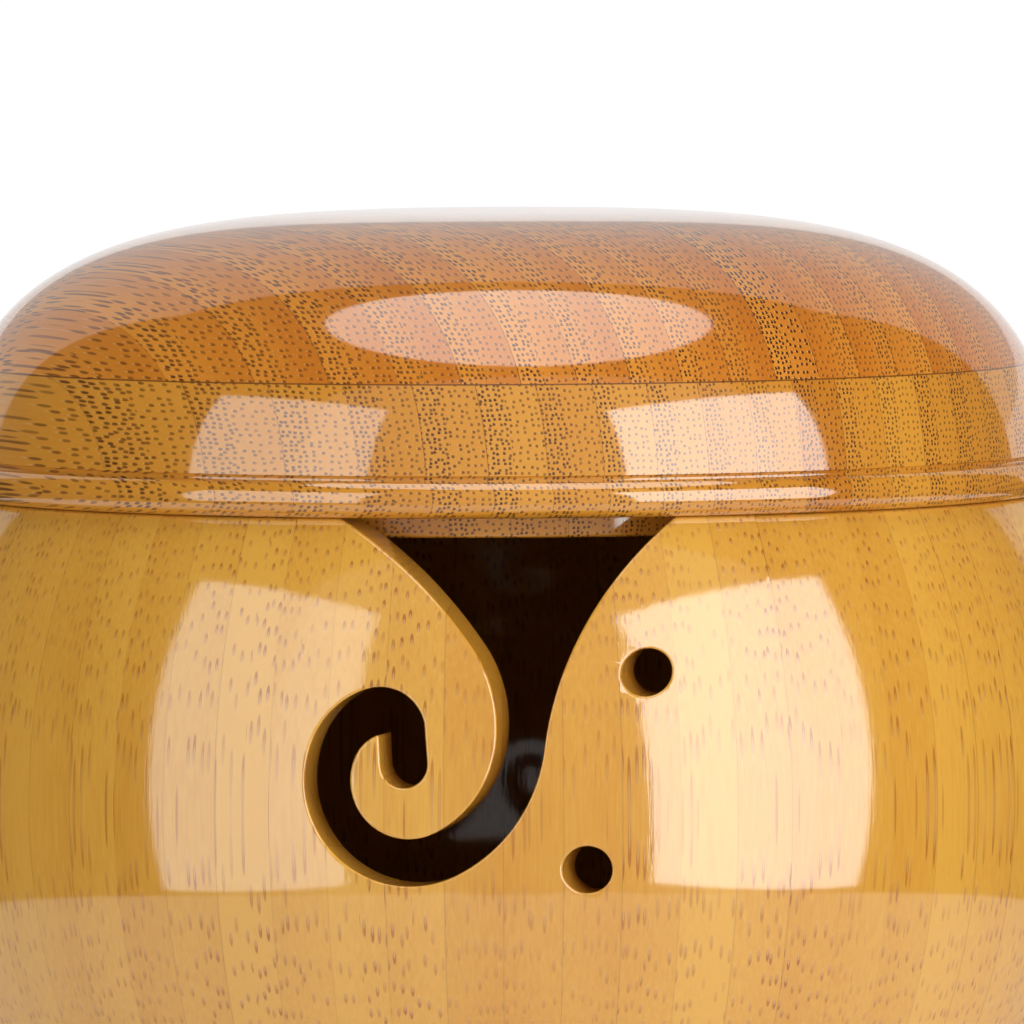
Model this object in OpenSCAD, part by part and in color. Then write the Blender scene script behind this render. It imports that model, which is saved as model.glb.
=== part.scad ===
// Lidded yarn bowl of laminated bamboo.
// Origin: centre of the foot, on the table. Front, with the yarn slot: towards -Y.

/* [Bowl] */
// Widest outside diameter of the bowl
bowl_d = 165; // [158:1:180]
// Height of the bowl's top edge above the table
bowl_h = 99.5; // [90:0.5:125]
// Height of the widest ring above the table
belly_z = 62; // [52:1:66]
// Outside diameter of the foot
foot_d = 98; // [92:1:112]
// Thickness of the wall
wall = 8; // [6:0.5:10]
// Inside diameter of the mouth, where the lid's lip drops in
mouth_d = 128.6; // [116:0.2:134]

/* [Staves] */
// Number of upright staves round the wall
stave_count = 68; // [48:2:80]
// Direction of one glue line, in degrees from the front towards the right
glue_line_azimuth = 11.5; // [9:0.5:14]
// Staves of the slot panel to the left of that glue line
panel_left = 4; // [4:1:7]
// Staves of the slot panel to the right of that glue line
panel_right = 5; // [5:1:7]

/* [Base board] */
// Diameter of the base board, which is glued inside the foot
base_d = 88; // [70:1:90]
// Thickness of the base board
base_t = 10; // [6:0.5:14]
// Number of bamboo strips glued edge to edge across the base board
base_strips = 13; // [9:1:15]

/* [Yarn slot] */
// Width of the slot all the way round its curl
slot_w = 6; // [5:0.25:7]
// Sideways place of the curl's outermost edge, at the neck of the slot
neck_x = 15.4; // [12:0.2:18]
// Depth of the neck below the bowl's top edge
neck_drop = 28.2; // [26:0.1:32]
// Lean of the slot at its neck, in degrees
neck_lean = 5.5; // [0:0.5:10]
// Straight run at the slot's inner end
tail_l = 4; // [2:0.5:5]
// Radius of the curl's edge below the neck
curl_side_r = 14; // [13:0.25:15]
// Radius of the curl's edge round its bottom and its far side
curl_round_r = 7.5; // [7:0.25:8]
// Radius of the curl's edge over its top
curl_top_r = 5; // [4.5:0.25:5.5]
// Radius of the curl's edge where it turns back down into the tail
curl_tip_r = 0.2; // [0.1:0.1:0.6]
// Radius of the funnel's shoulder just above the neck
shoulder_low_r = 17.5; // [15:0.5:20]
// Radius of the funnel's shoulder up to the mouth
shoulder_high_r = 57; // [45:1:65]
// Radius of the funnel's other side
flare_r = 46; // [40:1:55]

/* [Needle holes] */
// Diameter of the two needle holes
needle_d = 6; // [4:0.25:7]
// Sideways place of the upper hole
upper_hole_x = 33.4; // [31:0.1:36]
// Depth of the upper hole below the bowl's top edge
upper_hole_drop = 19.3; // [17:0.1:23]
// Sideways place of the lower hole
lower_hole_x = 26.6; // [25:0.1:30]
// Depth of the lower hole below the bowl's top edge
lower_hole_drop = 44.1; // [40:0.1:48]

/* [Lid] */
// Height of the lid above the bowl's top edge
lid_h = 37.05; // [32:0.05:45]
// How far the lid's bead stands out past the bowl's top edge
bead_overhang = 2.2; // [1:0.1:4]
// Height of the bead
bead_h = 4.95; // [3:0.05:6]
// How much smaller the dome's widest ring is than the bead
bead_step = 0.65; // [0.2:0.05:2]
// Depth of the dome's widest ring below the bowl's top edge
dome_sink = 14.4; // [0:0.1:20]
// Radius of the groove turned above the bead
groove_r = 0.5; // [0.3:0.1:1]
// Roundness of the dome: 2 is an ellipse, larger is squarer
dome_power = 3.5; // [2.2:0.05:4.5]
// Height of the glue line between the lid's two boards, above the bowl's top edge
seam_h = 16.95; // [12:0.05:20]
// Height of the lip that drops into the mouth
lip_h = 2.9; // [2:0.1:5]
// Thickness of the lip, and so of the rim board's ring at its thinnest
lip_t = 6.5; // [4:0.1:8]
// Gap all round between the lip and the mouth
lip_gap = 0.5; // [0.3:0.05:1]

/* [Lid boards] */
// Number of bamboo strips glued edge to edge across the crown board
crown_strips = 21; // [14:1:26]
// Number of bamboo strips glued edge to edge across the rim board
rim_strips = 22; // [15:1:27]
// Direction of the lid's grain, in degrees from the front towards the right
grain_azimuth = 39.5; // [0:0.5:90]
// Sideways shift of the crown board's glue lines
crown_shift = -0.6; // [-3:0.1:3]
// Sideways shift of the rim board's glue lines
rim_shift = -1.9; // [-3:0.1:3]

/* [Hidden] */
$fn = 96;
// The curl's edge from the neck inwards: each stretch is [radius, turn in degrees]
CURL = [[curl_side_r, 58], [curl_round_r, 140], [curl_top_r, 48], [curl_tip_r, 104]];
// The same edge from the neck up to the mouth
SHOULDER = [[shoulder_low_r, 42], [shoulder_high_r, 45]];
// The slot's other edge from the neck up to the mouth
FLARE = [[flare_r, 70]];
arc_step = 6;
dome_steps = 20;
past = 1;

belly_r = bowl_d / 2;
foot_r = foot_d / 2;
mouth_r = mouth_d / 2;
base_r = base_d / 2;
top_r = mouth_r + wall;
upper_arc_r = arc_through(belly_r - top_r, bowl_h - belly_z);
lower_arc_r = arc_through(belly_r - foot_r, belly_z);

stave_angle = 360 / stave_count;
panel_staves = panel_left + panel_right;
// Polar angle of the slot panel's left edge: the front is at -90 degrees
panel_start = glue_line_azimuth - 90 - panel_left * stave_angle;

bead_r = top_r + bead_overhang;
dome_r = bead_r - bead_step;
lip_r = mouth_r - lip_gap;
ring_bore_r = lip_r - lip_t;

neck_z = bowl_h - neck_drop;
// Height of the whole dome, from its widest ring up to its top
dome_h = lid_h + dome_sink;
crown_r = dome_r_at(seam_h);

// Radius of the arc that is upright at one end and has drawn in by run after a height of rise
function arc_through(run, rise) = (rise * rise + run * run) / (2 * run);

// Radius of the dome at a height above the bowl's top edge
function dome_r_at(h) =
    dome_r * pow(1 - pow((h + dome_sink) / dome_h, dome_power), 1 / dome_power);

function last(list) = list[len(list) - 1];
function reversed(list) = [for (i = [len(list) - 1:-1:0]) list[i]];
function toward(p, heading, distance) = p + distance * [cos(heading), sin(heading)];

// Points along an arc from p, turning left where turn is positive, without p itself
function arc(p, heading, radius, turn) =
    let (
        side = 90 * sign(turn),
        centre = toward(p, heading + side, radius),
        steps = ceil(abs(turn) / arc_step)
    )
    [for (i = [1:steps]) toward(centre, heading + turn * i / steps - side, radius)];

// Points along tangent arcs, each widened by spread, all turning to the given side
function arcs(p, heading, stretches, side, spread = 0, i = 0) =
    i == len(stretches) ? [] :
    let (
        turn = side * stretches[i][1],
        here = arc(p, heading, stretches[i][0] + spread, turn)
    )
    concat(here, arcs(last(here), heading + turn, stretches, side, spread, i + 1));

function total_turn(stretches, i = 0) =
    i == len(stretches) ? 0 : stretches[i][1] + total_turn(stretches, i + 1);

// The slot as it is seen from the front: the channel round the curl, and the funnel above it
function slot_outline() =
    let (
        left = -1,
        down = -90 - neck_lean,
        inner_neck = [neck_x, neck_z],
        outer_neck = toward(inner_neck, down + 90, slot_w),
        curl = arcs(inner_neck, down, CURL, left),
        far_side = arcs(outer_neck, down, CURL, left, slot_w),
        tail_heading = down - total_turn(CURL),
        tail_in = toward(last(curl), tail_heading, tail_l),
        round_end = arc(tail_in, tail_heading, slot_w / 2, 180),
        shoulder = arcs(inner_neck, down + 180, SHOULDER, 1),
        flare = arcs(outer_neck, down + 180, FLARE, -1),
        above = past + max(bowl_h, last(shoulder)[1], last(flare)[1])
    )
    concat(
        [[last(shoulder)[0], above]], reversed(shoulder), [inner_neck], curl,
        [tail_in], round_end, reversed(far_side), [outer_neck], flare,
        [[last(flare)[0], above]]
    );

// One half of the belly's section, from the axis out to its arc, drawn in by inset
module belly_half(arc_r, inset, low, high) {
    intersection() {
        translate([belly_r - arc_r, belly_z]) circle(r = arc_r - inset);
        translate([0, low]) square([belly_r, high - low]);
    }
}

// Section of the wall: the belly less its hollow, the base board's seat and the mouth
module wall_section() {
    difference() {
        union() {
            belly_half(upper_arc_r, 0, belly_z, bowl_h);
            belly_half(lower_arc_r, 0, 0, belly_z);
        }
        belly_half(upper_arc_r, wall, belly_z - past, bowl_h + past);
        belly_half(lower_arc_r, wall, base_t, belly_z);
        translate([-past, -past]) square([base_r + past, base_t + 2 * past]);
        translate([-past, belly_z]) square([mouth_r + past, bowl_h - belly_z + past]);
    }
}

// A piece of the wall that takes up count staves from the given one, counted from the slot panel
module wall_piece(first, count) {
    rotate([0, 0, panel_start + first * stave_angle])
        rotate_extrude(angle = count * stave_angle)
            wall_section();
}

// Cuts whatever is drawn as seen from the front through the front wall only
module through_front() {
    translate([0, -mouth_r / 2, 0])
        rotate([90, 0, 0])
            linear_extrude(height = belly_r)
                children();
}

module front_cuts() {
    through_front() polygon(slot_outline());
    needle_hole(upper_hole_x, upper_hole_drop);
    needle_hole(lower_hole_x, lower_hole_drop);
}

module needle_hole(x, drop) {
    translate([x, -mouth_r / 2, bowl_h - drop])
        rotate([90, 0, 0])
            cylinder(d = needle_d, h = belly_r);
}

module slot_panel() {
    color("goldenrod") difference() {
        wall_piece(0, panel_staves);
        front_cuts();
    }
}

// Every second one of the plain staves, beginning with the given one
module plain_staves(start) {
    for (i = [start:2:stave_count - 1]) wall_piece(i, 1);
}

module staves_odd() {
    color("burlywood") plain_staves(panel_staves);
}

module staves_even() {
    color("sandybrown") plain_staves(panel_staves + 1);
}

// The part of a round board that one of its strips takes up; a shift makes one outer strip
// wider and the other narrower
module strip_slab(i, strips, shift, board_r, low, high) {
    strip_w = 2 * board_r / strips;
    first = i == 1 ? -board_r - past : shift + (i - 1 - strips / 2) * strip_w;
    end = i == strips ? board_r + past : shift + (i - strips / 2) * strip_w;
    translate([first, -board_r - past, low])
        cube([end - first, 2 * (board_r + past), high - low]);
}

module along_grain() {
    rotate([0, 0, grain_azimuth]) children();
}

// Section of the dome from the bowl's top edge up, with its widest ring below that edge
module dome_section() {
    power = 2 / dome_power;
    foot_angle = asin(pow(dome_sink / dome_h, dome_power / 2));
    translate([0, bowl_h])
        polygon(concat([[0, 0]], [
            for (i = [0:dome_steps])
                let (a = foot_angle + (90 - foot_angle) * i / dome_steps)
                [dome_r * pow(cos(a), power), dome_h * pow(sin(a), power) - dome_sink]
        ]));
}

module bead_section() {
    translate([0, bowl_h]) square([bead_r - bead_h / 2, bead_h]);
    translate([bead_r - bead_h / 2, bowl_h + bead_h / 2]) circle(d = bead_h);
}

module rim_section() {
    difference() {
        union() {
            intersection() {
                dome_section();
                translate([0, bowl_h]) square([bead_r, seam_h]);
            }
            bead_section();
            translate([0, bowl_h - lip_h]) square([lip_r, lip_h]);
        }
        translate([-past, bowl_h - lip_h - past])
            square([ring_bore_r + past, lip_h + seam_h + 2 * past]);
        translate([dome_r_at(bead_h), bowl_h + bead_h]) circle(r = groove_r);
    }
}

// Every second strip of the rim board, beginning with the given one
module rim_strips(start) {
    for (i = [start:2:rim_strips]) {
        intersection() {
            rotate_extrude() rim_section();
            along_grain()
                strip_slab(i, rim_strips, rim_shift, bead_r, bowl_h - lip_h - past, bowl_h + seam_h + past);
        }
    }
}

module rim_strips_odd() {
    color("tan") rim_strips(1);
}

module rim_strips_even() {
    color("peru") rim_strips(2);
}

module crown_strip(i) {
    color(i % 2 == 0 ? "peru" : "tan") intersection() {
        rotate_extrude() intersection() {
            dome_section();
            translate([0, bowl_h + seam_h]) square([dome_r, lid_h]);
        }
        along_grain()
            strip_slab(i, crown_strips, crown_shift, crown_r, bowl_h, bowl_h + lid_h + past);
    }
}

module base_strip(i) {
    color(i % 2 == 0 ? "burlywood" : "wheat") intersection() {
        cylinder(r = base_r, h = base_t);
        strip_slab(i, base_strips, 0, base_r, -past, base_t + past);
    }
}

slot_panel();
staves_odd();
staves_even();
rim_strips_odd();
rim_strips_even();
for (i = [1:crown_strips])
    crown_strip(i);
for (i = [1:base_strips])
    base_strip(i);
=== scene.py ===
"""Lidded yarn bowl of laminated bamboo, dressed round its packed construction.

The bowl's wall, its slot panel and the lid's two boards are modelled here with rounded edges and a
lacquered bamboo finish. The base board's strips stay as the construction has them and are painted.
"""

import math

import bmesh
import bpy
from mathutils import Matrix, Vector


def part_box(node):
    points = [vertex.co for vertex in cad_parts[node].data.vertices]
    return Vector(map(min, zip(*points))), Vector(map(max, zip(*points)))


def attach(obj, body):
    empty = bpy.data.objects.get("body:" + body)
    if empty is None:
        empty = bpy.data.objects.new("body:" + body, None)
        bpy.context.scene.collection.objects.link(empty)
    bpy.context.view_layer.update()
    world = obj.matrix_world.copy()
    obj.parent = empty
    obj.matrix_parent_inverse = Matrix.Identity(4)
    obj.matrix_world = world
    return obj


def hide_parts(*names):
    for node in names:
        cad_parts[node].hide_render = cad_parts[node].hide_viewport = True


bl_info = {
    "name": "Bamboo Yarn Bowl",
    "version": (1, 0, 0),
    "blender": (4, 5, 0),
    "location": "3D View > Sidebar > Yarn Bowl",
    "description": "Models a lidded bamboo yarn bowl round its packed construction",
    "category": "Object",
}

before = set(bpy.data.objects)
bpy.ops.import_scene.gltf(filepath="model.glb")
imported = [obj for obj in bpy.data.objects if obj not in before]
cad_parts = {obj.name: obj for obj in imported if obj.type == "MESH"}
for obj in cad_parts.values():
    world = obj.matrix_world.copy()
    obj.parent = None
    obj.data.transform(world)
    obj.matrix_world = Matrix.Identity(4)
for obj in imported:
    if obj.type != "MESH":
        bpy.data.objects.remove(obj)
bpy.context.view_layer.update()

MM = 0.001
PANEL_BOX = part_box("slot_panel")
STAVES_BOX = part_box("staves_odd")
BASE_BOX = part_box("base_strip_7")
RIM_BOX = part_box("rim_strips_odd")
BEAD_RADIUS = max(RIM_BOX[1].x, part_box("rim_strips_even")[1].x)
CROWN_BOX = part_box("crown_strip_11")
BASE_STRIPS = sorted(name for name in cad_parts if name.startswith("base_strip_"))
CROWN_STRIPS = sorted(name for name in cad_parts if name.startswith("crown_strip_"))

# Refractive index of the lacquer and of the wood under it, and how much the wood itself shines
LACQUER_IOR = 1.9
WOOD_IOR = 1.45
WOOD_SHINE = 0.12

# The stage, in metres
FLOOR_RADIUS = 30
TABLE_RADIUS = 0.23
WHITE_FROM_TO = (0.2, 1.4)
OVERHEAD_PLACE = (0.078, -0.132, 1.1)
OVERHEAD_SIZE = (0.94, 1.01)
LIGHTS_AIM = Vector((0, 0, 0.08))
# Name, degrees from the camera round the bowl, distance, height, size, and whether it leans to the bowl
SOFT_BOXES = (
    ("left_box", -46.5, 1.0, 0.24, (0.70, 1.04), True),
    ("right_box", 47, 1.0, 0.24, (0.80, 1.04), True),
    ("front_card", 8, 2.5, 0.9, (6.0, 5.0), False),
    ("backdrop_foot", 180, 1.6, 0.21, (3.8, 0.42), False),
    ("backdrop", 180, 1.6, 1.71, (3.8, 2.58), False),
)


# Sizes and colours

def length(name, description, default, **more):
    """A size in metres, as a user sees it in the panel."""
    return bpy.props.FloatProperty(
        name=name, description=description, default=default, unit="LENGTH", precision=5, **more
    )


def angle(name, description, degrees):
    """An angle, written in degrees and kept in radians."""
    return bpy.props.FloatProperty(
        name=name, description=description, default=math.radians(degrees), subtype="ANGLE"
    )


def colour(name, description, default):
    """A linear colour."""
    return bpy.props.FloatVectorProperty(
        name=name, description=description, default=default, subtype="COLOR", size=3, min=0, max=1
    )


def count(name, description, default):
    """A whole number of pieces."""
    return bpy.props.IntProperty(name=name, description=description, default=default, min=1)


def share(name, description, default):
    """A plain number, mostly from 0 to 1."""
    return bpy.props.FloatProperty(name=name, description=description, default=default, min=0)


class YarnBowlWall(bpy.types.PropertyGroup):
    """Sizes of the bowl's wall and its staves."""

    height: length("Height", "Height of the bowl's top edge", PANEL_BOX[1].z)
    belly_r: length("Belly radius", "Outside radius at the widest ring", STAVES_BOX[1].x)
    belly_z: length("Belly height", "Height of the widest ring", 62 * MM)
    foot_r: length("Foot radius", "Outside radius of the foot", 49 * MM)
    thickness: length("Thickness", "Thickness of the wall", 8 * MM)
    mouth_r: length("Mouth radius", "Inside radius of the mouth", 64.3 * MM)
    seat_r: length("Seat radius", "Radius of the seat that holds the base board", BASE_BOX[1].y)
    seat_h: length("Seat height", "Height of the base board's seat", BASE_BOX[1].z)
    edge_r: length("Edge rounding", "Rounding of the mouth and the foot", 0.6 * MM)
    staves: count("Staves", "Number of staves round the wall", 68)
    glue_line: angle("Glue line", "Direction of one glue line from the front", 11.5)
    panel_left: count("Panel staves, left", "Staves of the slot panel left of that line", 4)
    panel_right: count("Panel staves, right", "Staves of the slot panel right of that line", 5)


class YarnBowlSlot(bpy.types.PropertyGroup):
    """Sizes of the curled yarn slot and the two needle holes."""

    width: length("Width", "Width of the slot round its curl", 6 * MM)
    neck_x: length("Neck", "Sideways place of the neck", 15.4 * MM)
    neck_drop: length("Neck depth", "Depth of the neck below the top edge", 28.2 * MM)
    lean: angle("Lean", "Lean of the slot at its neck", 5.5)
    tail: length("Tail", "Straight run at the slot's inner end", 4 * MM)
    side_r: length("Side radius", "Radius of the curl below the neck", 14 * MM)
    round_r: length("Round radius", "Radius of the curl round its bottom", 7.5 * MM)
    top_r: length("Top radius", "Radius of the curl over its top", 5 * MM)
    shoulder_low_r: length("Lower shoulder", "Radius of the funnel just above the neck", 17.5 * MM)
    shoulder_high_r: length("Upper shoulder", "Radius of the funnel up to the mouth", 57 * MM)
    flare_r: length("Flare", "Radius of the funnel's other side", 46 * MM)
    edge_r: length("Edge rounding", "Rounding of the slot's and the holes' edges", 0.35 * MM)
    hole_r: length("Hole radius", "Radius of the needle holes", 3 * MM)
    upper_hole_x: length("Upper hole", "Sideways place of the upper hole", 33.4 * MM)
    upper_hole_drop: length("Upper hole depth", "Depth of the upper hole", 19.3 * MM)
    lower_hole_x: length("Lower hole", "Sideways place of the lower hole", 26.6 * MM)
    lower_hole_drop: length("Lower hole depth", "Depth of the lower hole", 44.1 * MM)


class YarnBowlLid(bpy.types.PropertyGroup):
    """Sizes of the lid's rim board and crown board."""

    top: length("Top", "Height of the lid's top", CROWN_BOX[1].z)
    seam: length("Seam", "Height of the glue line between the two boards", CROWN_BOX[0].z)
    bead_r: length("Bead radius", "Outside radius of the bead", BEAD_RADIUS)
    bead_h: length("Bead height", "Height of the bead", 4.95 * MM)
    bead_step: length("Bead step", "Step from the bead in to the dome's widest ring", 0.65 * MM)
    dome_sink: length("Dome sink", "Depth of that ring below the bowl's top edge", 14.4 * MM)
    groove_r: length("Groove radius", "Radius of the groove above the bead", 0.5 * MM)
    dome_power: share("Dome power", "Roundness of the dome, 2 being an ellipse", 3.5)
    lip_r: length("Lip radius", "Outside radius of the lip", 63.8 * MM)
    lip_bottom: length("Lip bottom", "Height of the lip's lower edge", RIM_BOX[0].z)
    bore_r: length("Bore radius", "Radius of the rim board's bore", 57.3 * MM)
    edge_r: length("Edge rounding", "Rounding of the lip", 0.5 * MM)
    grain: angle("Grain", "Direction across the strips, from the right towards the back", 39.5)
    crown_strips: count("Crown strips", "Strips across the crown board", 21)
    crown_shift: length("Crown shift", "Sideways shift of its glue lines", -0.6 * MM)
    rim_strips: count("Rim strips", "Strips across the rim board", 22)
    rim_shift: length("Rim shift", "Sideways shift of its glue lines", -1.9 * MM)


class YarnBowlFinish(bpy.types.PropertyGroup):
    """Colours of the bamboo, and its lacquer."""

    wall_pale: colour("Wall, pale", "Pale staves", (0.75, 0.385, 0.052))
    wall_deep: colour("Wall, deep", "Deep staves", (0.62, 0.265, 0.024))
    wall_bundle: colour("Wall, bundles", "Fibre bundles in the wall", (0.36, 0.10, 0.008))
    rim_pale: colour("Rim, pale", "Pale strips of the rim board", (0.71, 0.315, 0.034))
    rim_deep: colour("Rim, deep", "Deep strips of the rim board", (0.55, 0.19, 0.012))
    crown_pale: colour("Crown, pale", "Pale strips of the crown board", (0.72, 0.27, 0.026))
    crown_deep: colour("Crown, deep", "Deep strips of the crown board", (0.50, 0.135, 0.007))
    lid_bundle: colour("Lid, bundles", "Fibre bundles in the lid", (0.085, 0.017, 0.002))
    vessel: colour("Vessels", "Pale vessels beside the bundles", (0.72, 0.42, 0.15))
    glue: colour("Glue", "Glue lines", (0.13, 0.038, 0.006))
    base_pale: colour("Base, pale", "Pale strips of the base board", (0.50, 0.26, 0.065))
    base_deep: colour("Base, deep", "Deep strips of the base board", (0.40, 0.19, 0.04))
    lacquer: share("Lacquer", "Strength of the clear coat", 1.0)
    lacquer_roughness: share("Lacquer roughness", "Roughness of the clear coat", 0.06)


class YarnBowlStudio(bpy.types.PropertyGroup):
    """Camera and lights."""

    camera_azimuth: angle("Camera azimuth", "Direction of the camera from the front", 11.5)
    camera_elevation: angle("Camera elevation", "Camera above the horizon", 2.9)
    camera_roll: angle("Camera roll", "Roll of the camera", 0.25)
    camera_distance: length("Camera distance", "Distance to the point it aims at", 2.0)
    camera_aim_z: length("Aim height", "Height of the point it aims at", 96.7 * MM)
    camera_aim_right: length("Aim right", "That point's place to the camera's right", 1.25 * MM)
    camera_lens: share("Lens", "Focal length in millimetres", 533.0)
    overhead: share("Overhead", "Brightness of the box overhead", 2.2)
    left_box: share("Left box", "Brightness of the box on the left", 1.9)
    right_box: share("Right box", "Brightness of the box on the right", 3.6)
    backdrop: share("Backdrop", "Brightness of the backdrop", 0.5)
    backdrop_foot: share("Backdrop's foot", "Brightness of the backdrop's lowest part", 0.92)
    front_card: share("Front card", "Brightness of the wall behind the camera", 0.3)
    room: share("Room", "Brightness of the rest of the room", 0.03)


GROUPS = {
    "yarn_bowl_wall": YarnBowlWall,
    "yarn_bowl_slot": YarnBowlSlot,
    "yarn_bowl_lid": YarnBowlLid,
    "yarn_bowl_finish": YarnBowlFinish,
    "yarn_bowl_studio": YarnBowlStudio,
}


# Drawing and shaping, as by hand

def deselect_everything():
    """Leaves edit mode and selects nothing."""
    active = bpy.context.view_layer.objects.active
    if active and active.mode != "OBJECT":
        bpy.ops.object.mode_set(mode="OBJECT")
    bpy.ops.object.select_all(action="DESELECT")


def draw_outline(name, points, fill=False):
    """Draws a closed outline from one vertex, extruded from point to point, and stays in edit mode."""
    deselect_everything()
    points = [Vector(p) for p in points]
    bpy.ops.mesh.primitive_plane_add(size=MM, location=points[0])
    piece = bpy.context.object
    piece.name = piece.data.name = name
    bpy.ops.object.mode_set(mode="EDIT")
    bpy.ops.mesh.select_mode(type="VERT")
    bpy.ops.mesh.merge(type="CENTER")
    for here, there in zip(points, points[1:]):
        bpy.ops.mesh.extrude_region_move(TRANSFORM_OT_translate={"value": there - here})
    if fill:
        bpy.ops.mesh.select_all(action="SELECT")
    else:
        ends = (points[0] - points[0], points[-1] - points[0])
        select(piece, "VERT", lambda v: any((v.co - end).length < 1e-7 for end in ends))
    bpy.ops.mesh.edge_face_add()
    return piece


def select(piece, kind, test):
    """Selects the vertices, edges or faces that pass a test, in edit mode, and says how many."""
    bpy.ops.mesh.select_mode(type=kind)
    bpy.ops.mesh.select_all(action="DESELECT")
    shape = bmesh.from_edit_mesh(piece.data)
    elements = {"VERT": shape.verts, "EDGE": shape.edges, "FACE": shape.faces}[kind]
    found = [element for element in elements if test(element)]
    for element in found:
        element.select_set(True)
    shape.select_flush_mode()
    bmesh.update_edit_mesh(piece.data)
    return len(found)


def place_in_mesh(piece):
    """Moves the piece's place from its object into its mesh, and leaves edit mode."""
    deselect_everything()
    piece.select_set(True)
    bpy.context.view_layer.objects.active = piece
    bpy.ops.object.transform_apply(location=True, rotation=True, scale=True)


def edit(piece):
    """Opens one piece alone in edit mode with all of it selected."""
    deselect_everything()
    piece.select_set(True)
    bpy.context.view_layer.objects.active = piece
    bpy.ops.object.mode_set(mode="EDIT")
    bpy.ops.mesh.select_mode(type="VERT")
    bpy.ops.mesh.select_all(action="SELECT")


def turn_outline(name, outline, start, sweep, steps):
    """Turns an outline of (radius, height) points about the upright axis, clockwise from above."""
    points = [(r * math.cos(start), r * math.sin(start), z) for r, z in outline]
    piece = draw_outline(name, points)
    place_in_mesh(piece)
    edit(piece)
    bpy.ops.mesh.spin(steps=steps, angle=sweep, center=(0, 0, 0), axis=(0, 0, 1))
    bpy.ops.mesh.select_all(action="SELECT")
    bpy.ops.mesh.remove_doubles(threshold=1e-6)
    select(piece, "EDGE", lambda e: all(v.co.x**2 + v.co.y**2 < 1e-12 for v in e.verts))
    bpy.ops.mesh.delete(type="EDGE")
    bpy.ops.mesh.select_all(action="SELECT")
    bpy.ops.mesh.fill_holes(sides=0)
    bpy.ops.mesh.select_all(action="SELECT")
    bpy.ops.mesh.normals_make_consistent(inside=False)
    return piece


def round_rings(piece, rings, radius, segments):
    """Rounds the sharp rings of a turned piece, each given by its radius and height."""
    near = 0.02 * MM

    def on_ring(v, ring):
        return abs(math.hypot(v.co.x, v.co.y) - ring[0]) < near and abs(v.co.z - ring[1]) < near

    select(piece, "EDGE", lambda e: any(all(on_ring(v, ring) for v in e.verts) for ring in rings))
    bpy.ops.mesh.bevel(offset=radius, segments=segments, affect="EDGES")


def finish_surface(piece, sharp):
    """Smooth shading that the large faces lead, so that the rounded edges stay crisp."""
    place_in_mesh(piece)
    bpy.ops.object.shade_smooth_by_angle(angle=sharp)
    modifier = piece.modifiers.new("even normals", "WEIGHTED_NORMAL")
    modifier.keep_sharp = True
    modifier.weight = 80
    bpy.ops.object.modifier_apply(modifier=modifier.name)


def dress(piece, material, body, nodes):
    """Paints a finished piece, sets it on its body and lets it stand for its CAD nodes."""
    piece.data.materials.clear()
    piece.data.materials.append(material)
    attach(piece, body)
    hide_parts(*nodes)


# The wall's section

def arc_through(run, rise):
    """Radius of the arc that is upright at one end and has drawn in by run after a height of rise."""
    return (rise * rise + run * run) / (2 * run)


def belly_radius(wall, z, inset=0.0):
    """Radius of the belly at a height, or of the hollow inside it."""
    if z > wall.belly_z:
        arc = arc_through(wall.belly_r - wall.mouth_r - wall.thickness, wall.height - wall.belly_z)
    else:
        arc = arc_through(wall.belly_r - wall.foot_r, wall.belly_z)
    return wall.belly_r - arc + math.sqrt((arc - inset) ** 2 - (z - wall.belly_z) ** 2)


def hollow_radius(wall, z):
    """Radius of the hollow at a height above the base board's seat."""
    hollow = belly_radius(wall, z, wall.thickness)
    return max(hollow, wall.mouth_r) if z > wall.belly_z else hollow


def mouth_floor(wall):
    """Height at which the hollow has drawn in to the mouth's bore."""
    arc = arc_through(wall.belly_r - wall.mouth_r - wall.thickness, wall.height - wall.belly_z)
    across = wall.mouth_r - wall.belly_r + arc
    return wall.belly_z + math.sqrt((arc - wall.thickness) ** 2 - across**2)


def steps_between(low, high, step):
    """Evenly spaced values from low to high, both included, about step apart."""
    number = max(1, round(abs(high - low) / step))
    return [low + (high - low) * i / number for i in range(number + 1)]


def wall_outline(wall, step):
    """The wall's section as (radius, height) points, up the outside and down the inside."""
    outside = [(belly_radius(wall, z), z) for z in steps_between(0, wall.height, step)]
    floor = mouth_floor(wall)
    inside = [(hollow_radius(wall, z), z) for z in steps_between(floor, wall.seat_h, step)]
    return outside + [(wall.mouth_r, wall.height)] + inside + [(wall.seat_r, wall.seat_h), (wall.seat_r, 0)]


def panel_edges(wall):
    """Azimuths of the slot panel's two glued edges, from the front towards the right."""
    stave = 2 * math.pi / wall.staves
    return wall.glue_line - wall.panel_left * stave, wall.glue_line + wall.panel_right * stave


# The slot's outline, as it is seen from the front

def toward(point, heading, distance):
    """The point at a distance in a heading."""
    return point + distance * Vector((math.cos(heading), math.sin(heading)))


def arc_points(point, heading, radius, turn, step):
    """Points along an arc, turning left where turn is positive, without the first one."""
    side = math.copysign(math.pi / 2, turn)
    centre = toward(point, heading + side, radius)
    number = max(1, math.ceil(abs(turn) * radius / step))
    return [toward(centre, heading + turn * i / number - side, radius) for i in range(1, number + 1)]


def arcs_points(point, heading, stretches, side, spread, step):
    """Points along tangent arcs of (radius, degrees), each widened by spread, turning one way."""
    found = []
    for radius, degrees in stretches:
        turn = side * math.radians(degrees)
        found += arc_points(point, heading, radius + spread, turn, step)
        point, heading = found[-1], heading + turn
    return found


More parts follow.
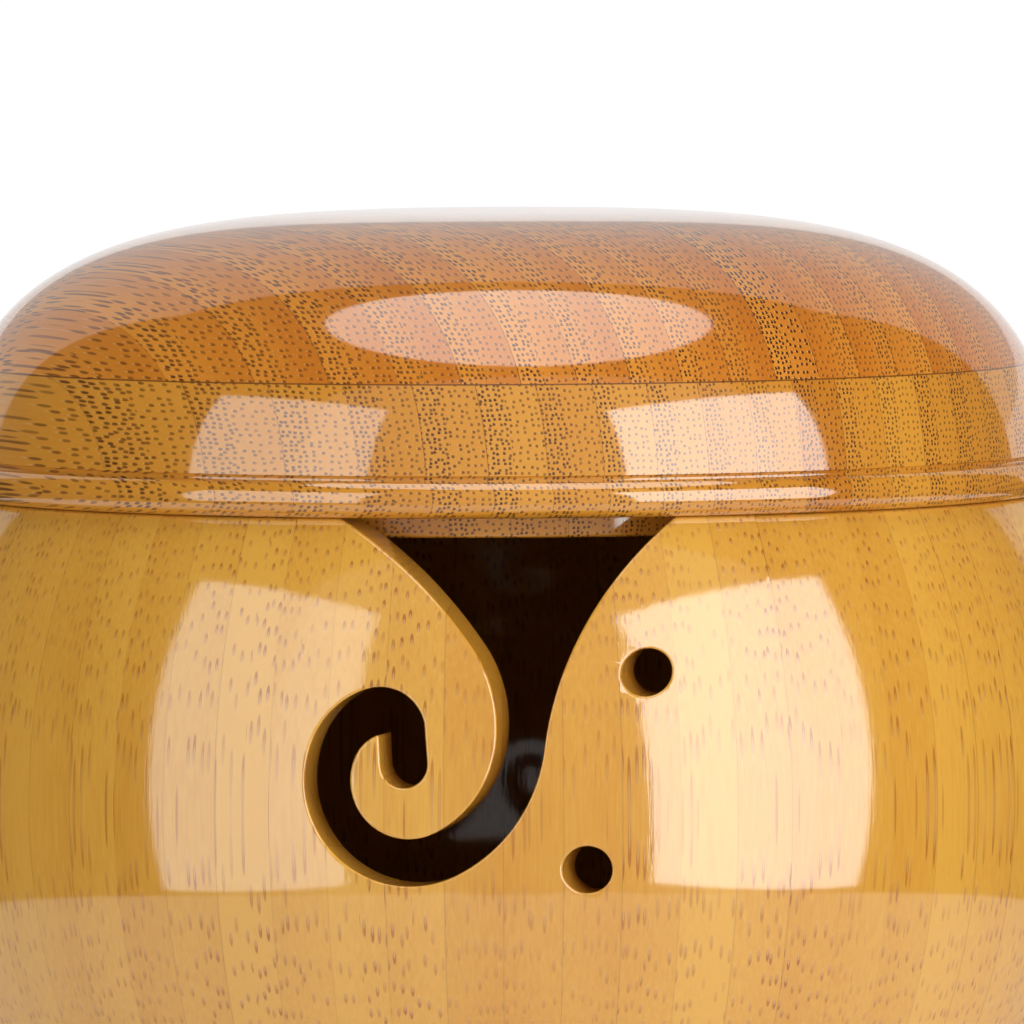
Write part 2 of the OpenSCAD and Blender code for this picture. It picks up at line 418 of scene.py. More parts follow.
def slot_outline(wall, slot):
    """The slot's edge from its left end at the mouth, round the curl and back up to the mouth."""
    step = 1.1 * MM
    tip = (0.0, 104)
    curl = [(slot.side_r, 58), (slot.round_r, 140), (slot.top_r, 48)]
    shoulder = [(slot.shoulder_low_r, 42), (slot.shoulder_high_r, 45)]
    flare = [(slot.flare_r, 70)]
    down = -math.pi / 2 - slot.lean
    inner_neck = Vector((slot.neck_x, wall.height - slot.neck_drop))
    outer_neck = toward(inner_neck, down + math.pi / 2, slot.width)
    inner_edge = arcs_points(inner_neck, down, curl, -1, 0, step)
    outer_edge = arcs_points(outer_neck, down, curl + [tip], -1, slot.width, step)
    tail_heading = down - math.radians(sum(degrees for _, degrees in curl + [tip]))
    tail_end = toward(inner_edge[-1], tail_heading, slot.tail)
    round_end = arc_points(tail_end, tail_heading, slot.width / 2, math.pi, step / 2)
    shoulder_edge = arcs_points(inner_neck, down + math.pi, shoulder, 1, 0, step)
    flare_edge = arcs_points(outer_neck, down + math.pi, flare, -1, 0, step)
    left = below_the_mouth(wall, [inner_neck] + shoulder_edge)
    right = below_the_mouth(wall, [outer_neck] + flare_edge)
    return left[::-1] + inner_edge + [tail_end] + round_end + outer_edge[-2::-1] + right


def below_the_mouth(wall, points):
    """The points up to the bowl's top edge, with one set on the edge itself."""
    kept = []
    for here, there in zip(points, points[1:]):
        kept.append(here)
        if there.y >= wall.height:
            reach = (wall.height - here.y) / (there.y - here.y)
            if (there - here).length * reach < 0.4 * MM:
                kept.pop()
            return kept + [here.lerp(there, reach)]
    raise ValueError("the slot does not reach the bowl's top edge")


# Nodes

class Graph:
    """Adds nodes to a tree and joins them, so that a pattern reads as a sum."""

    def __init__(self, tree):
        self.tree = tree

    def join(self, value, socket):
        """Links a socket, or sets a plain value."""
        if isinstance(value, bpy.types.NodeSocket):
            self.tree.links.new(value, socket)
        else:
            socket.default_value = value

    def node(self, kind, inputs=None, **settings):
        """A new node with its settings and its inputs by name."""
        made = self.tree.nodes.new("ShaderNode" + kind)
        for name, value in settings.items():
            setattr(made, name, value)
        for name, value in (inputs or {}).items():
            self.join(value, made.inputs[name])
        return made

    def math(self, operation, *values, clamp=False):
        """One sum."""
        made = self.node("Math", operation=operation, use_clamp=clamp)
        for value, socket in zip(values, made.inputs):
            self.join(value, socket)
        return made.outputs[0]

    def add(self, a, b):
        return self.math("ADD", a, b)

    def subtract(self, a, b):
        return self.math("SUBTRACT", a, b)

    def multiply(self, a, b):
        return self.math("MULTIPLY", a, b)

    def vector(self, x, y, z=0.0):
        """Three numbers as one place."""
        return self.node("CombineXYZ", {"X": x, "Y": y, "Z": z}).outputs[0]

    def smooth(self, value, low, high, out_low=0.0, out_high=1.0):
        """An even step from out_low to out_high as the value goes from low to high."""
        inputs = {"Value": value, "From Min": low, "From Max": high, "To Min": out_low, "To Max": out_high}
        return self.node("MapRange", inputs, interpolation_type="SMOOTHSTEP").outputs[0]

    def mix(self, factor, a, b, blend="MIX"):
        """Two colours mixed."""
        made = self.node("Mix", data_type="RGBA", blend_type=blend)
        for value, index in ((factor, 0), (a, 6), (b, 7)):
            self.join(value if not isinstance(value, tuple) else (*value, 1.0), made.inputs[index])
        return made.outputs[2]

    def noise(self, place, scale, detail=2.0, roughness=0.5):
        """Soft noise, about 0.5 on average."""
        inputs = {"Vector": place, "Scale": scale, "Detail": detail, "Roughness": roughness}
        return self.node("TexNoise", inputs).outputs["Fac"]

    def chance(self, value):
        """Three even random numbers that are the same all over one strip."""
        drawn = self.node("TexWhiteNoise", {"W": value}, noise_dimensions="1D").outputs["Color"]
        parts = self.node("SeparateColor", {"Color": drawn})
        return [parts.outputs[name] for name in ("Red", "Green", "Blue")]


# Bamboo

def spots(graph, across, through, spacing, radius, vessel_place, vessel_radius):
    """Fibre bundles and the pale vessel of each, cut across: (bundle, vessel, random by bundle)."""
    place = graph.vector(graph.math("DIVIDE", across, spacing), graph.math("DIVIDE", through, spacing))
    cells = graph.node(
        "TexVoronoi", {"Vector": place, "Scale": 1.0, "Randomness": 0.55}, voronoi_dimensions="2D"
    )
    away = graph.node("VectorMath", operation="SUBTRACT")
    graph.join(place, away.inputs[0])
    graph.join(cells.outputs["Position"], away.inputs[1])
    near_bundle = graph.node("VectorMath", operation="LENGTH")
    graph.join(away.outputs[0], near_bundle.inputs[0])
    to_vessel = graph.node("VectorMath", operation="SUBTRACT")
    graph.join(away.outputs[0], to_vessel.inputs[0])
    to_vessel.inputs[1].default_value = (vessel_place[0] / spacing, vessel_place[1] / spacing, 0)
    near_vessel = graph.node("VectorMath", operation="LENGTH")
    graph.join(to_vessel.outputs[0], near_vessel.inputs[0])
    soft = 0.05 / spacing
    bundle = graph.smooth(near_bundle.outputs["Value"], radius / spacing + soft, radius / spacing - soft)
    vessel = graph.smooth(
        near_vessel.outputs["Value"], vessel_radius / spacing + soft, vessel_radius / spacing - soft
    )
    parts = graph.node("SeparateColor", {"Color": cells.outputs["Color"]})
    return bundle, vessel, parts.outputs["Red"]


def bamboo(name, strips, colours, look, finish):
    """A lacquered bamboo material.

    strips makes, from the surface's place in millimetres, each strip's number, the share of its width
    (0 to 1), and the surface's place across it, through it and along its grain.
    """
    material = bpy.data.materials.new(name)
    material.use_nodes = True
    tree = material.node_tree
    tree.nodes.clear()
    graph = Graph(tree)
    place = graph.node("TexCoord").outputs["Object"]
    scaled = graph.node("VectorMath", operation="SCALE")
    graph.join(place, scaled.inputs[0])
    scaled.inputs["Scale"].default_value = 1 / MM
    number, share_of_width, across, through, along = strips(graph, scaled.outputs[0])
    first, second, third = graph.chance(number)

    # Each strip has its own slope of grain, and a slow waver along it
    slope = graph.multiply(graph.subtract(second, 0.5), look["slope"])
    waver_place = graph.vector(graph.multiply(number, 7.3), graph.multiply(along, 0.03))
    waver = graph.multiply(graph.subtract(graph.noise(waver_place, 1.0, 1.0), 0.5), look["waver"])
    across = graph.add(across, graph.add(waver, graph.multiply(number, 31.7)))
    through = graph.add(through, graph.add(graph.multiply(along, slope), graph.multiply(waver, 2.0)))

    # The skin side of a strip is crowded with fibre bundles, and its other side is sparse
    turned = graph.math("GREATER_THAN", number if look["turned_by_place"] else third, look["turned"])
    from_skin = graph.math("ABSOLUTE", graph.subtract(share_of_width, turned))
    dense = graph.smooth(from_skin, look["dense_to"], look["dense_from"])

    coarse = spots(graph, across, through, *look["coarse"])
    fine = spots(graph, across, through, *look["fine"])
    crowded = graph.math("GREATER_THAN", dense, 0.5)
    bundle = graph.node("Mix", {0: crowded}, data_type="FLOAT")
    graph.join(coarse[0], bundle.inputs[2])
    graph.join(fine[0], bundle.inputs[3])
    vessel = graph.node("Mix", {0: crowded}, data_type="FLOAT")
    graph.join(coarse[1], vessel.inputs[2])
    graph.join(fine[1], vessel.inputs[3])
    bundle, vessel = bundle.outputs[0], vessel.outputs[0]

    # Ground colour: by strip, by side and by slow stains, with fine fibres along the grain
    fibre_place = graph.vector(
        graph.multiply(across, 2.4), graph.multiply(through, 2.4), graph.multiply(along, look["streak"])
    )
    fibre = graph.noise(fibre_place, 1.0, 2.0, 0.6)
    stain = graph.noise(scaled.outputs[0], 0.035, 1.0)
    tone = graph.add(graph.multiply(first, look["strip_tone"]), graph.multiply(dense, look["skin_tone"]))
    tone = graph.add(tone, graph.multiply(graph.subtract(stain, 0.5), look["stain"]))
    tone = graph.add(tone, graph.multiply(graph.subtract(fibre, 0.5), look["fibre"]))
    if "marked" in look:
        marked = look["marked"](graph, number)
        tone = graph.add(tone, graph.multiply(marked, look["mark_tone"]))
    ground = graph.mix(graph.math("ADD", tone, look["tone"], clamp=True), colours["pale"], colours["deep"])

    weight = graph.add(look["bundle_least"], graph.multiply(coarse[2], look["bundle_varies"]))
    weight = graph.multiply(weight, graph.smooth(dense, 0, 1, look["sparse_weight"], 1.0))
    weight = graph.multiply(weight, graph.smooth(second, 0, 1, look["strip_weight"], 1.0))
    if "marked" in look:
        weight = graph.add(weight, graph.multiply(marked, look["mark_weight"]))
    dark = graph.math("MULTIPLY", bundle, weight, clamp=True)
    painted = graph.mix(dark, ground, colours["bundle"])
    pale = graph.multiply(graph.multiply(vessel, look["vessel_weight"]), weight)
    painted = graph.mix(pale, painted, colours["vessel"])

    # Glue lines between strips
    to_edge = graph.subtract(0.5, graph.math("ABSOLUTE", graph.subtract(share_of_width, 0.5)))
    line = graph.smooth(to_edge, look["line"], look["line"] * 0.3)
    line = graph.multiply(line, graph.smooth(third, 0, 1, look["line_least"], look["line_most"]))
    if "seam" in look:
        line = graph.math("MAXIMUM", line, look["seam"](graph, scaled.outputs[0]))
    painted = graph.mix(line, painted, colours["glue"])

    bump = graph.node("Bump", {"Height": fibre, "Strength": look["bump"], "Distance": 0.05 * MM})
    surface = graph.node("BsdfPrincipled", {"Base Color": painted, "Normal": bump.outputs[0]})
    roughness = graph.smooth(fibre, 0.2, 0.8, 0.38, 0.5)
    graph.join(roughness, surface.inputs["Roughness"])
    graph.join(bump.outputs[0], surface.inputs["Coat Normal"])
    surface.inputs["IOR"].default_value = WOOD_IOR
    surface.inputs["Specular IOR Level"].default_value = WOOD_SHINE
    surface.inputs["Coat Weight"].default_value = finish.lacquer
    surface.inputs["Coat Roughness"].default_value = finish.lacquer_roughness
    surface.inputs["Coat IOR"].default_value = LACQUER_IOR
    output = graph.node("OutputMaterial")
    graph.join(surface.outputs[0], output.inputs["Surface"])
    return material


def upright_staves(wall):
    """Staves that stand round the axis, with their grain upright."""
    def strips(graph, place):
        parts = graph.node("SeparateXYZ", {"Vector": place})
        x, y, z = (parts.outputs[axis] for axis in "XYZ")
        azimuth = graph.math("ARCTAN2", x, graph.multiply(y, -1))
        stave = 2 * math.pi / wall.staves
        turns = graph.math("DIVIDE", graph.subtract(azimuth, wall.glue_line), stave)
        number = graph.math("FLOOR", turns)
        share_of_width = graph.subtract(turns, number)
        radius = graph.math("SQRT", graph.add(graph.multiply(x, x), graph.multiply(y, y)))
        across = graph.multiply(graph.multiply(share_of_width, radius), stave)
        return graph.add(number, 0.5), share_of_width, across, radius, z
    return strips


def middle_line(strips, width, shift):
    """Place of the glue line nearest the middle: an odd number of strips has one strip across it."""
    return shift + (width / 2 if strips % 2 else 0.0)


def level_strips(grain, width, shift):
    """Strips that lie side by side, with their grain level and square to the given direction."""
    def strips(graph, place):
        parts = graph.node("SeparateXYZ", {"Vector": place})
        x, y, z = (parts.outputs[axis] for axis in "XYZ")
        u = graph.add(graph.multiply(x, math.cos(grain)), graph.multiply(y, math.sin(grain)))
        along = graph.subtract(graph.multiply(y, math.cos(grain)), graph.multiply(x, math.sin(grain)))
        turns = graph.math("DIVIDE", graph.subtract(u, shift / MM), width / MM)
        number = graph.math("FLOOR", turns)
        share_of_width = graph.subtract(turns, number)
        return graph.add(number, 0.5), share_of_width, u, z, along
    return strips


# How each kind of board looks, in millimetres. Coarse and fine give the spacing and radius of the fibre
# bundles on a strip's sparse and crowded sides, and the place and radius of the vessel beside each
WALL_LOOK = {
    "slope": 0.02, "waver": 0.5, "turned": 0.5, "turned_by_place": False, "dense_from": 0.0, "dense_to": 0.9,
    "coarse": (1.35, 0.22, (0.0, 0.14), 0.17), "fine": (1.0, 0.22, (0.0, 0.12), 0.13),
    "strip_tone": 0.65, "skin_tone": 0.15, "stain": 0.6, "fibre": 1.0, "streak": 0.16, "tone": -0.1,
    "bundle_least": 0.4, "bundle_varies": 0.55, "sparse_weight": 0.8, "strip_weight": 0.5,
    "vessel_weight": 0.7, "line": 0.02, "line_least": 0.0, "line_most": 0.3, "bump": 0.12,
}
RIM_LOOK = {
    "slope": 0.03, "waver": 0.4, "turned": 99.0, "turned_by_place": True, "dense_from": 0.0, "dense_to": 0.85,
    "coarse": (0.84, 0.19, (-0.23, 0.04), 0.09), "fine": (0.62, 0.19, (-0.20, 0.03), 0.08),
    "strip_tone": 0.5, "skin_tone": 0.0, "stain": 0.5, "fibre": 0.4, "streak": 0.08, "tone": 0.1,
    "bundle_least": 0.72, "bundle_varies": 0.28, "sparse_weight": 0.75, "strip_weight": 0.85,
    "vessel_weight": 0.7, "line": 0.014, "line_least": 0.1, "line_most": 0.6, "bump": 0.05,
}
CROWN_LOOK = dict(RIM_LOOK, turned=1.0, strip_tone=0.4, skin_tone=-0.5, tone=0.4, line_most=0.8)
BASE_LOOK = dict(WALL_LOOK, slope=0.03, line_most=0.5)


# Operators

def settings(context):
    """The five groups of settings."""
    return [getattr(context.scene, name) for name in GROUPS]


class YARNBOWL_OT_materials(bpy.types.Operator):
    """Mix the bamboo materials"""

    bl_idname = "yarnbowl.materials"
    bl_label = "Bamboo Materials"

    def execute(self, context):
        wall, _, lid, finish, _ = settings(context)
        rim_w = 2 * lid.bead_r / lid.rim_strips
        rim_line = middle_line(lid.rim_strips, rim_w, lid.rim_shift)
        crown_w = 2 * lid_radius(lid, wall, lid.seam) / lid.crown_strips
        crown_line = middle_line(lid.crown_strips, crown_w, lid.crown_shift)
        base_w = 2 * wall.seat_r / len(BASE_STRIPS)
        base_line = middle_line(len(BASE_STRIPS), base_w, 0.0)
        seam_z = lid.seam / MM

        def seam(graph, place):
            z = graph.node("SeparateXYZ", {"Vector": place}).outputs["Z"]
            return graph.smooth(graph.math("ABSOLUTE", graph.subtract(z, seam_z)), 0.14, 0.05, 0.0, 0.85)

        def one_strip(marked):
            return lambda graph, number: graph.math("COMPARE", number, marked, 0.1)

        dark_rim_strip = {"marked": one_strip(1.5), "mark_tone": 0.7, "mark_weight": 0.2}
        dark_crown_strip = {"marked": one_strip(0.5), "mark_tone": -0.2, "mark_weight": 0.9}
        boards = (
            ("lacquered_staves", upright_staves(wall), "wall", "wall_bundle", WALL_LOOK),
            ("lacquered_rim_board", level_strips(lid.grain, rim_w, rim_line), "rim", "lid_bundle",
             dict(RIM_LOOK, seam=seam, **dark_rim_strip)),
            ("lacquered_crown_board", level_strips(lid.grain, crown_w, crown_line), "crown", "lid_bundle",
             dict(CROWN_LOOK, seam=seam, **dark_crown_strip)),
            ("lacquered_base_board", level_strips(0.0, base_w, base_line), "base", "wall_bundle", BASE_LOOK),
        )
        for name, strips, wood, bundle, look in boards:
            bamboo(name, strips, self.colours(finish, wood, bundle), look, finish)
        return {"FINISHED"}

    def colours(self, finish, wood, bundle):
        """The colours of one kind of board."""
        named = {"pale": wood + "_pale", "deep": wood + "_deep", "bundle": bundle,
                 "vessel": "vessel", "glue": "glue"}
        return {part: tuple(getattr(finish, name)) for part, name in named.items()}


def dome_size(lid, wall):
    """The dome's largest radius, the height of that ring and the dome's rise above it."""
    foot = wall.height - lid.dome_sink
    return lid.bead_r - lid.bead_step, foot, lid.top - foot


def lid_radius(lid, wall, z):
    """Radius of the lid's dome at a height."""
    dome_r, foot, dome_h = dome_size(lid, wall)
    rise = min(1.0, (z - foot) / dome_h)
    return dome_r * (1 - rise**lid.dome_power) ** (1 / lid.dome_power)


def dome_outline(lid, wall, low, number):
    """The dome's outline from its middle out and down to a height."""
    dome_r, foot, dome_h = dome_size(lid, wall)
    power = 2 / lid.dome_power
    turn = math.asin(((low - foot) / dome_h) ** (1 / power))
    points = []
    for i in range(number + 1):
        a = math.pi / 2 + (turn - math.pi / 2) * i / number
        r = dome_r * max(0.0, math.cos(a)) ** power if i else 0.0
        points.append((r, foot + dome_h * math.sin(a) ** power))
    return points


class YARNBOWL_OT_stave_ring(bpy.types.Operator):
    """Turn the ring of plain staves"""

    bl_idname = "yarnbowl.stave_ring"
    bl_label = "Stave Ring"

    def execute(self, context):
        wall = settings(context)[0]
        left, right = panel_edges(wall)
        outline = wall_outline(wall, 2 * MM)
        sweep = 2 * math.pi - (right - left)
        piece = turn_outline("stave_ring", outline, left - math.pi / 2, sweep, 220)
        rings = [(wall.foot_r, 0), (wall.mouth_r + wall.thickness, wall.height), (wall.mouth_r, wall.height)]
        round_rings(piece, rings, wall.edge_r, 3)
        finish_surface(piece, math.radians(40))
        nodes = ["staves_odd", "staves_even"]
        dress(piece, bpy.data.materials["lacquered_staves"], "bowl", nodes)
        return {"FINISHED"}


class YARNBOWL_OT_slot_panel(bpy.types.Operator):
    """Cut and round the panel with the yarn slot and the needle holes"""

    bl_idname = "yarnbowl.slot_panel"
    bl_label = "Slot Panel"

    def execute(self, context):
        wall, slot = settings(context)[:2]
        piece = self.flat_board(wall, slot)
        self.drill(piece, wall, slot)
        self.round_edges(piece, wall, slot)
        self.step_for_base(piece, wall)
        self.score_grid(piece, wall)
        self.bend(piece, wall)
        self.trim(piece, wall)
        finish_surface(piece, math.radians(40))
        dress(piece, bpy.data.materials["lacquered_staves"], "bowl", ["slot_panel"])
        return {"FINISHED"}

    def flat_board(self, wall, slot):
        """A flat board with the slot in its outline, its outer side at -thickness and its inner at 0."""
        left, right = panel_edges(wall)
        spare = 2 * MM
        heights = steps_between(0, wall.height, 5 * MM)
        right_side = [(belly_radius(wall, z) * math.sin(right) + spare, z) for z in heights[::-1]]
        left_side = [(belly_radius(wall, z) * math.sin(left) - spare, z) for z in heights]
        edge = [tuple(p) for p in slot_outline(wall, slot)]
        outline = [(x, -wall.thickness, z) for x, z in edge + right_side + left_side]
        piece = draw_outline("slot_panel_board", outline, fill=True)
        place_in_mesh(piece)
        edit(piece)
        bpy.ops.mesh.extrude_region_move(TRANSFORM_OT_translate={"value": (0, wall.thickness, 0)})
        bpy.ops.mesh.select_all(action="SELECT")
        bpy.ops.mesh.normals_make_consistent(inside=False)
        bpy.ops.object.mode_set(mode="OBJECT")
        return piece

    def drill(self, piece, wall, slot):
        """Drills the two needle holes."""
        for x, drop in ((slot.upper_hole_x, slot.upper_hole_drop), (slot.lower_hole_x, slot.lower_hole_drop)):
            deselect_everything()
            bpy.ops.mesh.primitive_cylinder_add(
                vertices=64, radius=slot.hole_r, depth=4 * wall.thickness,
                location=(x, 0, wall.height - drop), rotation=(math.pi / 2, 0, 0),
            )
            drill = bpy.context.object
            cut = piece.modifiers.new("needle hole", "BOOLEAN")
            cut.operation, cut.solver, cut.object = "DIFFERENCE", "EXACT", drill
            bpy.context.view_layer.objects.active = piece
            bpy.ops.object.modifier_apply(modifier=cut.name)
            bpy.data.objects.remove(drill)

    def round_edges(self, piece, wall, slot):
        """Rounds every sharp edge but those that will be glued."""
        edit(piece)
        sharp = math.radians(35)
        near = 0.1 * MM
        left, right = panel_edges(wall)

        def glued(v):
            reach = belly_radius(wall, v.co.z)
            return v.co.x < reach * math.sin(left) - near or v.co.x > reach * math.sin(right) + near

        def to_round(edge):
            if len(edge.link_faces) != 2 or edge.calc_face_angle(0) < sharp:
                return False
            if all(abs(v.co.z) < near and v.co.y > -near for v in edge.verts):
                return False
            return not all(glued(v) for v in edge.verts)

        select(piece, "EDGE", to_round)
        bpy.ops.mesh.bevel(offset=slot.edge_r, segments=4, affect="EDGES", clamp_overlap=False)

    def step_for_base(self, piece, wall):
        """Thickens the board below the base board's seat."""
        self.score(piece, (0, 0, wall.seat_h), (0, 0, 1))
        near = 0.1 * MM
        select(piece, "FACE", lambda f: f.normal.y > 0.9 and f.calc_center_median().z < wall.seat_h - near)
        bpy.ops.mesh.extrude_region_move(TRANSFORM_OT_translate={"value": (0, wall.thickness, 0)})

    def score(self, piece, point, normal):
        """Cuts a line right across the board."""
        bpy.ops.mesh.select_all(action="SELECT")
        bpy.ops.mesh.bisect(plane_co=point, plane_no=normal)

    def score_grid(self, piece, wall):
        """Cuts the board into a grid fine enough to bend."""
        step = 2 * MM
        reach = wall.belly_r
        for x in steps_between(-reach * 0.22, reach * 0.66, step):
            self.score(piece, (x, 0, 0), (1, 0, 0))
        for z in steps_between(0, wall.height, step)[1:-1]:
            self.score(piece, (0, 0, z), (0, 0, 1))
        bpy.ops.object.mode_set(mode="OBJECT")

    def bend(self, piece, wall):
        """Bends the board onto the wall: its outer side to the belly and its inner side to the hollow."""
        near = 1e-6
        for v in piece.data.vertices:
            z = min(max(v.co.z, 0.0), wall.height)
            outer = belly_radius(wall, z)
            if v.co.y > near:
                radius = wall.seat_r
            else:
                inner = hollow_radius(wall, z) if z > wall.seat_h - near else (outer + wall.seat_r) / 2
                radius = inner + (outer - inner) * -v.co.y / wall.thickness
            v.co.y = -math.sqrt(max(radius * radius - v.co.x * v.co.x, near))

    def trim(self, piece, wall):
        """Cuts the panel off at its two glued edges."""
        left, right = panel_edges(wall)
        for azimuth, side in ((left, -1), (right, 1)):
            edit(piece)
            normal = (side * math.cos(azimuth), side * math.sin(azimuth), 0)
            bpy.ops.mesh.bisect(plane_co=(0, 0, 0), plane_no=normal, use_fill=True, clear_outer=True)
        bpy.ops.mesh.select_all(action="SELECT")
        bpy.ops.mesh.remove_doubles(threshold=1e-6)
        bpy.ops.mesh.normals_make_consistent(inside=False)


class YARNBOWL_OT_base_board(bpy.types.Operator):
    """Paint the base board's strips"""

    bl_idname = "yarnbowl.base_board"
    bl_label = "Base Board"

    def execute(self, context):
        for name in BASE_STRIPS:
            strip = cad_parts[name]
            strip.data.materials.clear()
            strip.data.materials.append(bpy.data.materials["lacquered_base_board"])
        return {"FINISHED"}


class YARNBOWL_OT_rim_board(bpy.types.Operator):
    """Turn the lid's rim board"""

    bl_idname = "yarnbowl.rim_board"
    bl_label = "Rim Board"

    def execute(self, context):
        wall, _, lid, _, _ = settings(context)
        bead = lid.bead_h / 2
        bead_centre = (lid.bead_r - bead, wall.height + bead)
        groove_z = wall.height + lid.bead_h
        groove_centre = (lid_radius(lid, wall, groove_z), groove_z)
        dome = [(lid_radius(lid, wall, z), z)
                for z in steps_between(lid.seam, groove_centre[1] + lid.groove_r, 0.8 * MM)]
        groove = [
            (groove_centre[0] - lid.groove_r * math.sin(a), groove_centre[1] + lid.groove_r * math.cos(a))
            for a in steps_between(math.radians(12), math.radians(200), math.radians(12))
        ]
        bead_arc = [
            (bead_centre[0] + bead * math.cos(a), bead_centre[1] + bead * math.sin(a))
            for a in steps_between(math.radians(55), math.radians(-90), math.radians(6))
        ]
        inside = [
            (lid.lip_r, wall.height), (lid.lip_r, lid.lip_bottom),
            (lid.bore_r, lid.lip_bottom), (lid.bore_r, lid.seam),
        ]
        piece = turn_outline("rim_board", dome + groove + bead_arc + inside, 0.0, 2 * math.pi, 256)
        round_rings(piece, [(lid.lip_r, lid.lip_bottom), (lid.bore_r, lid.lip_bottom)], lid.edge_r, 3)
        finish_surface(piece, math.radians(40))
        nodes = ["rim_strips_odd", "rim_strips_even"]
        dress(piece, bpy.data.materials["lacquered_rim_board"], "lid", nodes)
        return {"FINISHED"}


class YARNBOWL_OT_crown_board(bpy.types.Operator):
    """Turn the lid's crown board"""

    bl_idname = "yarnbowl.crown_board"
    bl_label = "Crown Board"

    def execute(self, context):
        wall, _, lid, _, _ = settings(context)
        outline = dome_outline(lid, wall, lid.seam, 72) + [(0.0, lid.seam)]
        piece = turn_outline("crown_board", outline, 0.0, 2 * math.pi, 256)
        finish_surface(piece, math.radians(40))
        dress(piece, bpy.data.materials["lacquered_crown_board"], "lid", CROWN_STRIPS)
        return {"FINISHED"}


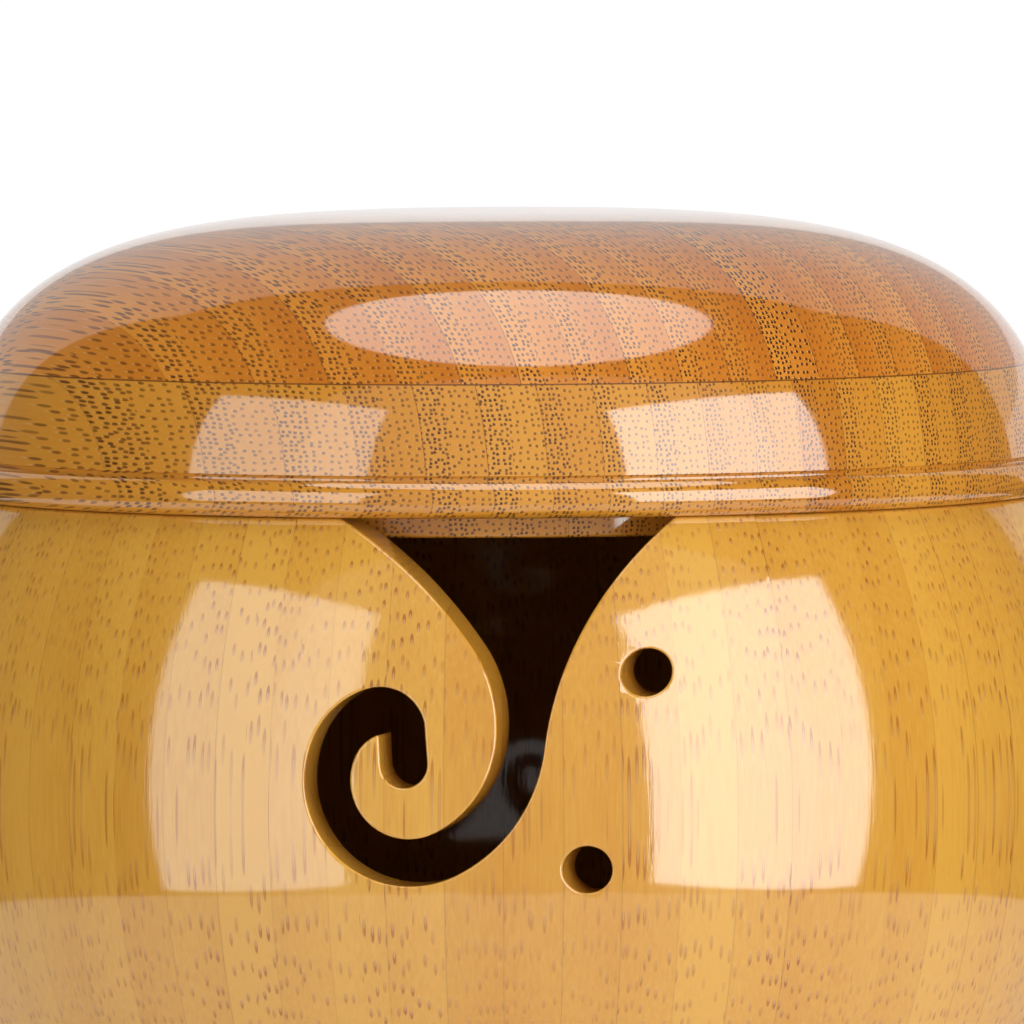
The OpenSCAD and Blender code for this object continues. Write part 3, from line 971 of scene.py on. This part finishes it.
class YARNBOWL_OT_studio(bpy.types.Operator):
    """Set up the floor, the lights and the camera"""

    bl_idname = "yarnbowl.studio"
    bl_label = "Studio"

    def execute(self, context):
        studio = settings(context)[4]
        context.scene.view_settings.view_transform = "Standard"
        self.floor()
        self.camera(context, studio)
        self.world(context, studio)
        overhead = Matrix.Translation(OVERHEAD_PLACE) @ Matrix.Rotation(studio.camera_azimuth, 4, "Z")
        self.light("overhead", studio.overhead, overhead, OVERHEAD_SIZE, "ELLIPSE")
        for name, degrees, distance, height, size, leans in SOFT_BOXES:
            place = self.around(studio, degrees, distance, height)
            facing = LIGHTS_AIM - place if leans else -Vector((place.x, place.y, 0))
            turned = facing.to_track_quat("-Z", "Y").to_matrix().to_4x4()
            self.light(name, getattr(studio, name), Matrix.Translation(place) @ turned, size, "RECTANGLE")
        return {"FINISHED"}

    def around(self, studio, degrees, distance, height):
        """A place round the bowl, by its azimuth from the camera's."""
        azimuth = studio.camera_azimuth + math.radians(degrees)
        return Vector((distance * math.sin(azimuth), -distance * math.cos(azimuth), height))

    def disc(self, name, radius, z, material):
        """A flat disc of the stage."""
        deselect_everything()
        bpy.ops.mesh.primitive_circle_add(vertices=96, radius=radius, fill_type="NGON", location=(0, 0, z))
        disc = bpy.context.object
        disc.name = name
        disc.data.materials.append(material)
        return disc

    def floor(self):
        """A wide pale floor, and the small table under the bowl that only reflections show."""
        material = self.floor_material()
        floor = self.disc("studio_floor", FLOOR_RADIUS, 0.0, material)
        floor.visible_glossy = False
        table = self.disc("studio_table", TABLE_RADIUS, 0.1 * MM, material)
        table.visible_camera = table.visible_diffuse = table.visible_shadow = False

    def floor_material(self):
        """A matt pale finish that goes over into white away from the bowl."""
        material = bpy.data.materials.new("studio_floor")
        material.use_nodes = True
        graph = Graph(material.node_tree)
        surface = material.node_tree.nodes["Principled BSDF"]
        surface.inputs["Base Color"].default_value = (0.9, 0.9, 0.9, 1)
        surface.inputs["Roughness"].default_value = 0.9
        surface.inputs["Specular IOR Level"].default_value = 0.1
        surface.inputs["Emission Color"].default_value = (1, 1, 1, 1)
        away = graph.node("VectorMath", operation="LENGTH")
        graph.join(graph.node("TexCoord").outputs["Object"], away.inputs[0])
        # White where the camera sees it, and left to the lights in reflections
        seen = graph.node("LightPath").outputs["Is Camera Ray"]
        white = graph.multiply(graph.smooth(away.outputs["Value"], *WHITE_FROM_TO), seen)
        graph.join(white, surface.inputs["Emission Strength"])
        return material

    def camera(self, context, studio):
        """The camera at the photograph's viewing angle."""
        azimuth, elevation = studio.camera_azimuth, studio.camera_elevation
        level = math.cos(elevation)
        back = Vector((math.sin(azimuth) * level, -math.cos(azimuth) * level, math.sin(elevation)))
        right = Vector((math.cos(azimuth), math.sin(azimuth), 0))
        data = bpy.data.cameras.new("camera")
        data.sensor_width = 36
        data.lens = studio.camera_lens
        data.clip_start, data.clip_end = 0.1, 200
        camera = bpy.data.objects.new("camera", data)
        context.scene.collection.objects.link(camera)
        aim = Vector((0, 0, studio.camera_aim_z)) + right * studio.camera_aim_right
        turned = (-back).to_track_quat("-Z", "Y").to_matrix().to_4x4()
        roll = Matrix.Rotation(-studio.camera_roll, 4, "Z")
        camera.matrix_world = Matrix.Translation(aim + back * studio.camera_distance) @ turned @ roll
        context.scene.camera = camera

    def world(self, context, studio):
        """White behind the object, and a dim room for the reflections."""
        world = bpy.data.worlds.new("studio")
        context.scene.world = world
        world.use_nodes = True
        world.node_tree.nodes.clear()
        graph = Graph(world.node_tree)
        seen = graph.node("LightPath").outputs["Is Camera Ray"]
        white = graph.node("Background", {"Color": (1, 1, 1, 1), "Strength": 1.0})
        room = graph.node("Background", {"Color": (1, 0.98, 0.95, 1), "Strength": studio.room})
        mixed = graph.node("MixShader")
        graph.join(seen, mixed.inputs[0])
        graph.join(room.outputs[0], mixed.inputs[1])
        graph.join(white.outputs[0], mixed.inputs[2])
        output = graph.node("OutputWorld")
        graph.join(mixed.outputs[0], output.inputs["Surface"])

    def light(self, name, brightness, place, size, shape):
        """A soft light of the given brightness, which the camera itself doesn't see."""
        data = bpy.data.lights.new(name, "AREA")
        data.shape = shape
        data.size, data.size_y = size
        area = size[0] * size[1] * (math.pi / 4 if shape == "ELLIPSE" else 1)
        data.energy = brightness * math.pi * area
        light = bpy.data.objects.new(name, data)
        bpy.context.scene.collection.objects.link(light)
        light.matrix_world = place
        light.visible_camera = False


class YARNBOWL_PT_panel(bpy.types.Panel):
    """The yarn bowl's sizes, colours and makers"""

    bl_label = "Yarn Bowl"
    bl_idname = "YARNBOWL_PT_panel"
    bl_space_type = "VIEW_3D"
    bl_region_type = "UI"
    bl_category = "Yarn Bowl"

    def draw(self, context):
        for maker in MAKERS:
            self.layout.operator(maker.bl_idname)
        for name, group in GROUPS.items():
            box = self.layout.box()
            box.label(text=group.__doc__)
            for field in group.__annotations__:
                box.prop(getattr(context.scene, name), field)


MAKERS = (
    YARNBOWL_OT_materials,
    YARNBOWL_OT_stave_ring,
    YARNBOWL_OT_slot_panel,
    YARNBOWL_OT_base_board,
    YARNBOWL_OT_rim_board,
    YARNBOWL_OT_crown_board,
    YARNBOWL_OT_studio,
)
CLASSES = (*GROUPS.values(), *MAKERS, YARNBOWL_PT_panel)


def register():
    for cls in CLASSES:
        bpy.utils.register_class(cls)
    for name, group in GROUPS.items():
        setattr(bpy.types.Scene, name, bpy.props.PointerProperty(type=group))


def unregister():
    for name in GROUPS:
        delattr(bpy.types.Scene, name)
    for cls in reversed(CLASSES):
        bpy.utils.unregister_class(cls)


def main():
    register()
    for maker in MAKERS:
        family, name = maker.bl_idname.split(".")
        getattr(getattr(bpy.ops, family), name)()


if __name__ == "__main__":
    main()
